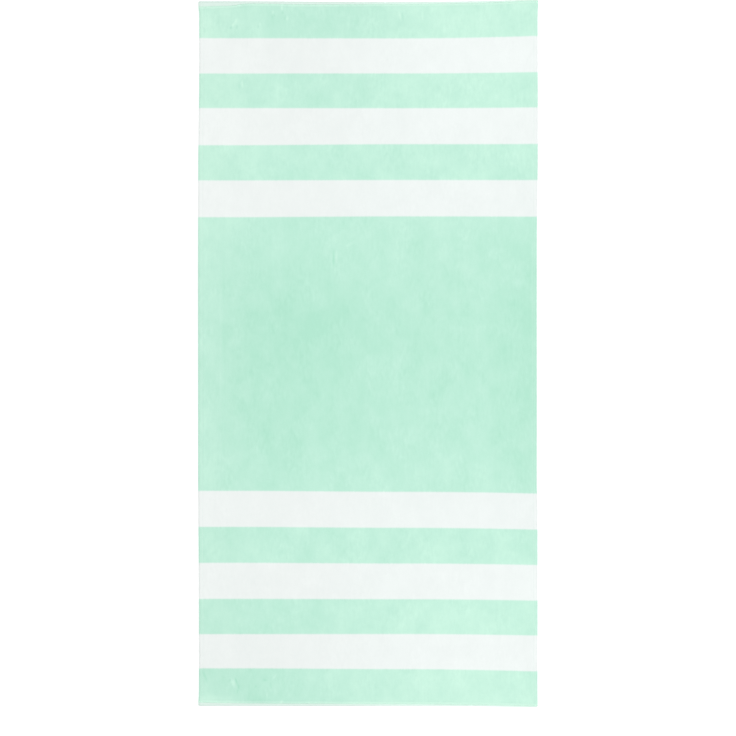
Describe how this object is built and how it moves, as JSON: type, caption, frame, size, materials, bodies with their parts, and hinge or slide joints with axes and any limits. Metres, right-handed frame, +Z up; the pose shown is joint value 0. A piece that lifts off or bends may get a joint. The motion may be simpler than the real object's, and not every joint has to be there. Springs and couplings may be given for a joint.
{
  "type": "beach towel",
  "caption": "Velour beach towel laid flat, mint with white cabana stripes towards both ends, turned side hems and bare flat-woven end hems.",
  "frame": {"origin": "on the floor under the middle of the towel, at the bottom centre of its bounding box", "axes": "+X across the towel, +Y along it towards the end that lies at the top of the picture, +Z up out of the velour face"},
  "size_m": [0.7348, 1.5286, 0.0065],
  "materials": {
    "velour": "sheared cotton pile, matt, mint with white stripes"
  },
  "bodies": {
    "root": {"towel": "velour"}
  },
  "joints": []
}
